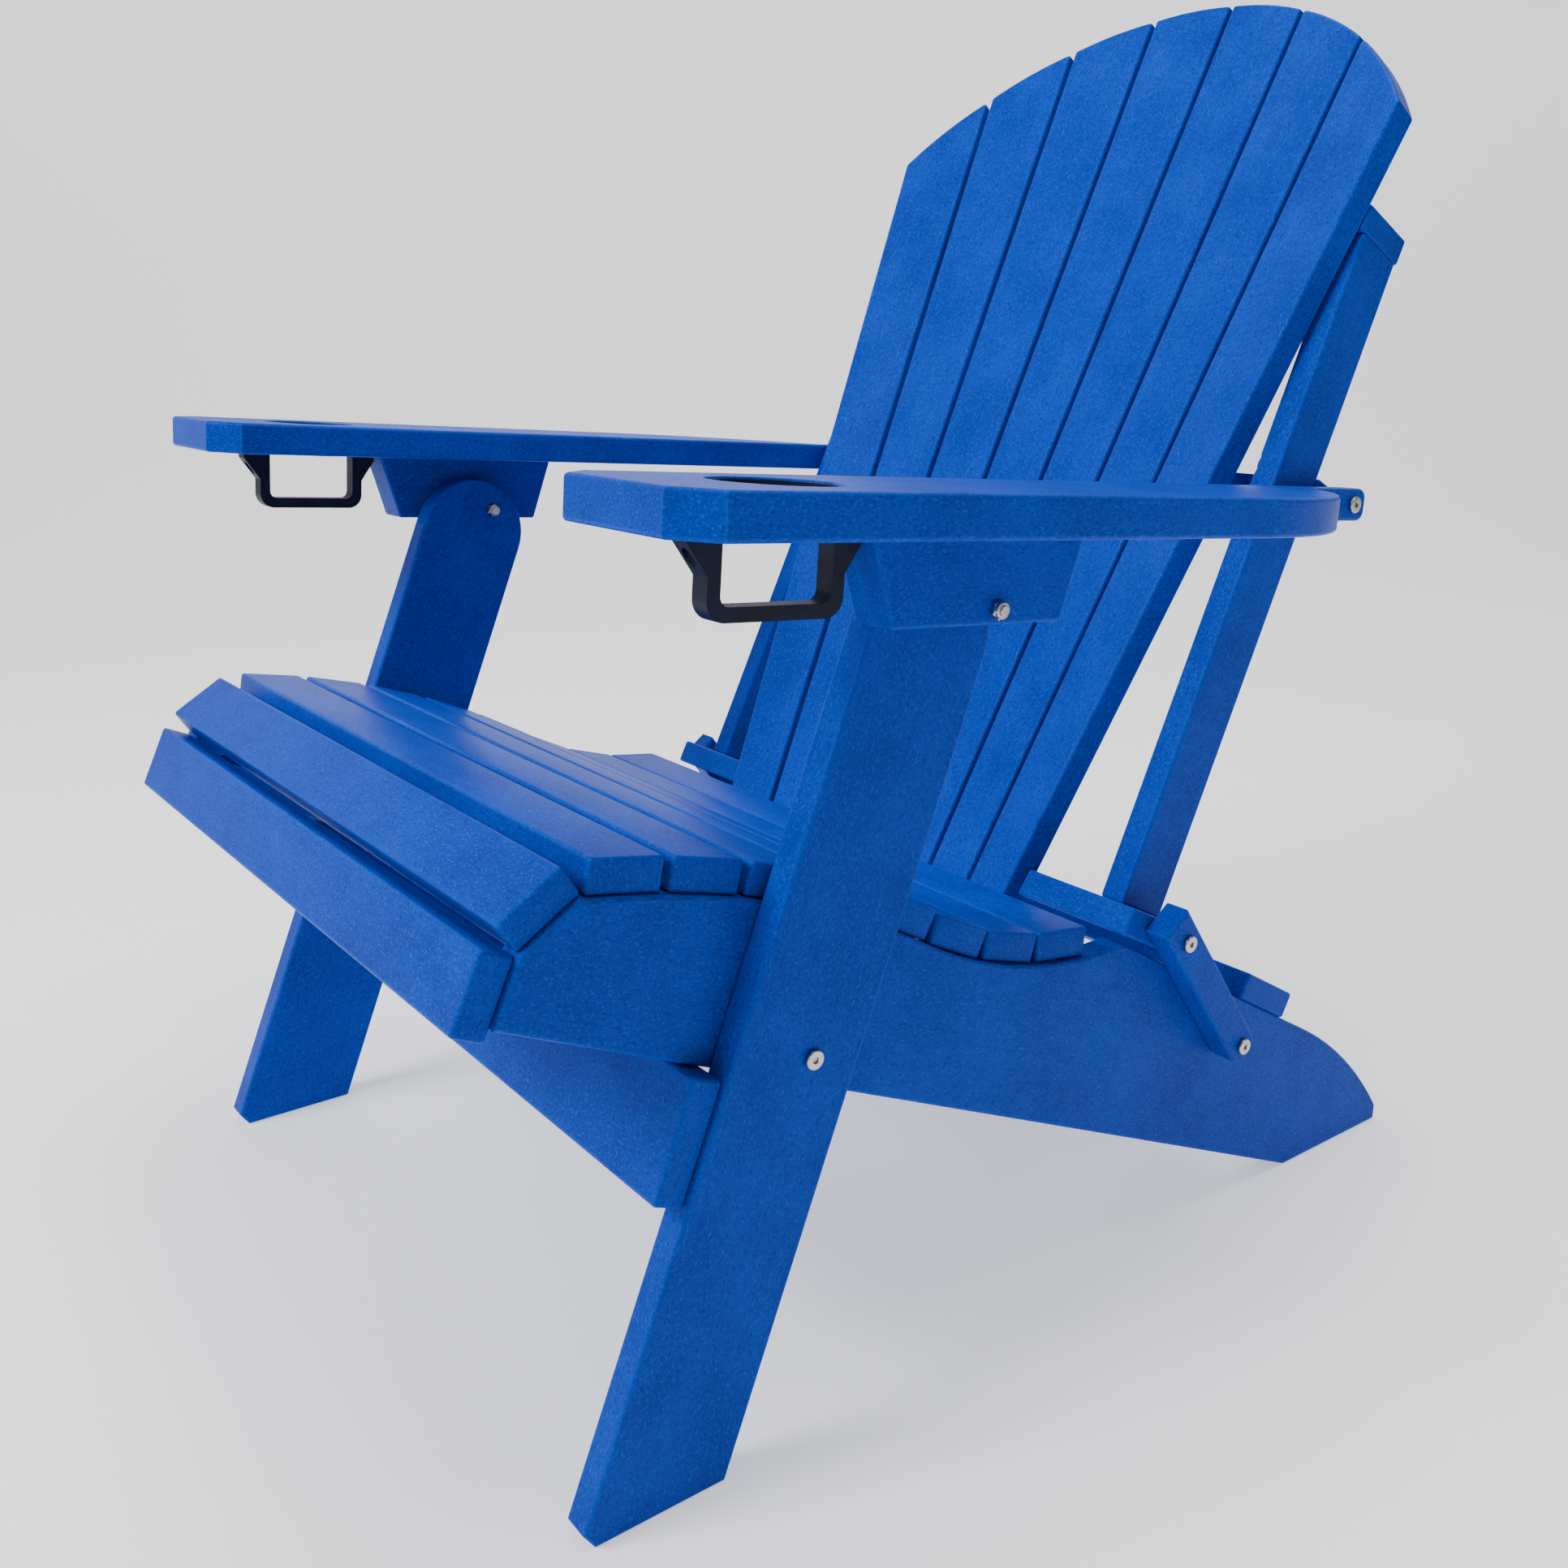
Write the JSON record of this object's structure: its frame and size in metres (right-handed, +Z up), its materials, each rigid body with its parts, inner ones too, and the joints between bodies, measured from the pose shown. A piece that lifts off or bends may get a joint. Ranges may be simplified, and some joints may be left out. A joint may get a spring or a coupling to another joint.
{
  "type": "folding adirondack chair",
  "caption": "Folding adirondack chair of plastic lumber with a fan back, a curved slatted seat and wide arms, each with a cup hole and a strap holder.",
  "frame": {"origin": "on the ground, under the middle of the whole chair's box", "axes": "+Z up; the front of the chair faces -Y; +X is the sitter's left"},
  "size_m": [0.838, 0.9363, 0.9913],
  "materials": {
    "blue_lumber": "mid blue plastic lumber, fine speckled grain, eased edges",
    "navy_moulding": "near-black navy moulding, satin",
    "stainless_steel": "plain stainless hardware",
    "white_nylon": "off-white nylon lock rings"
  },
  "bodies": {
    "seat_frame": {"rail_left": "blue_lumber", "rail_right": "blue_lumber", "seat_slat_1": "blue_lumber", "seat_slat_2": "blue_lumber", "seat_slat_3": "blue_lumber", "seat_slat_4": "blue_lumber", "seat_slat_5": "blue_lumber", "seat_slat_6": "blue_lumber", "seat_slat_7": "blue_lumber", "seat_slat_8": "blue_lumber", "seat_slat_9": "blue_lumber", "front_apron": "blue_lumber", "rear_cross_board": "blue_lumber", "seat_screws": "stainless_steel"},
    "front_legs": {"leg_left": "blue_lumber", "leg_right": "blue_lumber", "leg_stretcher": "blue_lumber", "leg_screws": "stainless_steel", "leg_bolts": "stainless_steel", "leg_washers": "stainless_steel", "leg_nuts": "stainless_steel", "leg_nut_inserts": "white_nylon", "arm_bolt_inner_ends": "stainless_steel"},
    "link_side_left": {"link_left": "blue_lumber", "link_bolt_left": "stainless_steel", "link_nut_left": "stainless_steel", "link_nut_insert_left": "white_nylon"},
    "link_side_right": {"link_right": "blue_lumber", "link_bolt_right": "stainless_steel", "link_nut_right": "stainless_steel", "link_nut_insert_right": "white_nylon"},
    "back_frame": {"back_slat_1": "blue_lumber", "back_slat_2": "blue_lumber", "back_slat_3": "blue_lumber", "back_slat_4": "blue_lumber", "back_slat_5": "blue_lumber", "back_slat_6": "blue_lumber", "back_slat_7": "blue_lumber", "upright_left": "blue_lumber", "upright_right": "blue_lumber", "top_brace": "blue_lumber", "arm_cross_board": "blue_lumber", "lower_crossbar": "blue_lumber", "crossbar_bolts": "stainless_steel", "arm_rear_bolts": "stainless_steel", "barrel_nuts": "stainless_steel", "back_screws": "stainless_steel"},
    "arm_side_left": {"arm_left": "blue_lumber", "arm_bracket_left": "blue_lumber", "cup_holder_left": "navy_moulding", "arm_screws_left": "stainless_steel", "arm_bolt_outer_end_left": "stainless_steel", "arm_bolt_nut": "stainless_steel", "arm_bolt_nut_insert": "white_nylon"},
    "arm_side_right": {"arm_right": "blue_lumber", "arm_bracket_right": "blue_lumber", "cup_holder_right": "navy_moulding", "arm_screws_right": "stainless_steel", "arm_bolt_outer_end_right": "stainless_steel"}
  },
  "joints": [
    {"name": "leg_fold", "type": "hinge", "parent": "seat_frame", "child": "front_legs", "pos_m": [0, -0.24538, 0.2701], "axis": [1, 0, 0], "range_deg": [0, 90]},
    {"name": "link_swing_left", "type": "hinge", "parent": "seat_frame", "child": "link_side_left", "pos_m": [0, 0.18712, 0.152], "axis": [1, 0, 0], "range_deg": [-23, 0]},
    {"name": "link_swing_right", "type": "hinge", "parent": "seat_frame", "child": "link_side_right", "pos_m": [0, 0.18712, 0.152], "axis": [1, 0, 0], "range_deg": [-23, 0]},
    {"name": "back_pivot", "type": "hinge", "parent": "link_side_left", "child": "back_frame", "pos_m": [0, 0.1109, 0.25778], "axis": [1, 0, 0], "range_deg": [0, 103]},
    {"name": "arm_pivot_left", "type": "hinge", "parent": "back_frame", "child": "arm_side_left", "pos_m": [0, 0.31004, 0.5708], "axis": [1, 0, 0], "range_deg": [-63, 0]},
    {"name": "arm_pivot_right", "type": "hinge", "parent": "back_frame", "child": "arm_side_right", "pos_m": [0, 0.31004, 0.5708], "axis": [1, 0, 0], "range_deg": [-63, 0]}
  ],
  "couplings": [
    {"joint": "link_swing_left", "follows": "leg_fold", "ratio": -0.249},
    {"joint": "link_swing_right", "follows": "leg_fold", "ratio": -0.249},
    {"joint": "back_pivot", "follows": "leg_fold", "ratio": 1.135},
    {"joint": "arm_pivot_left", "follows": "leg_fold", "ratio": -0.693},
    {"joint": "arm_pivot_right", "follows": "leg_fold", "ratio": -0.693}
  ]
}
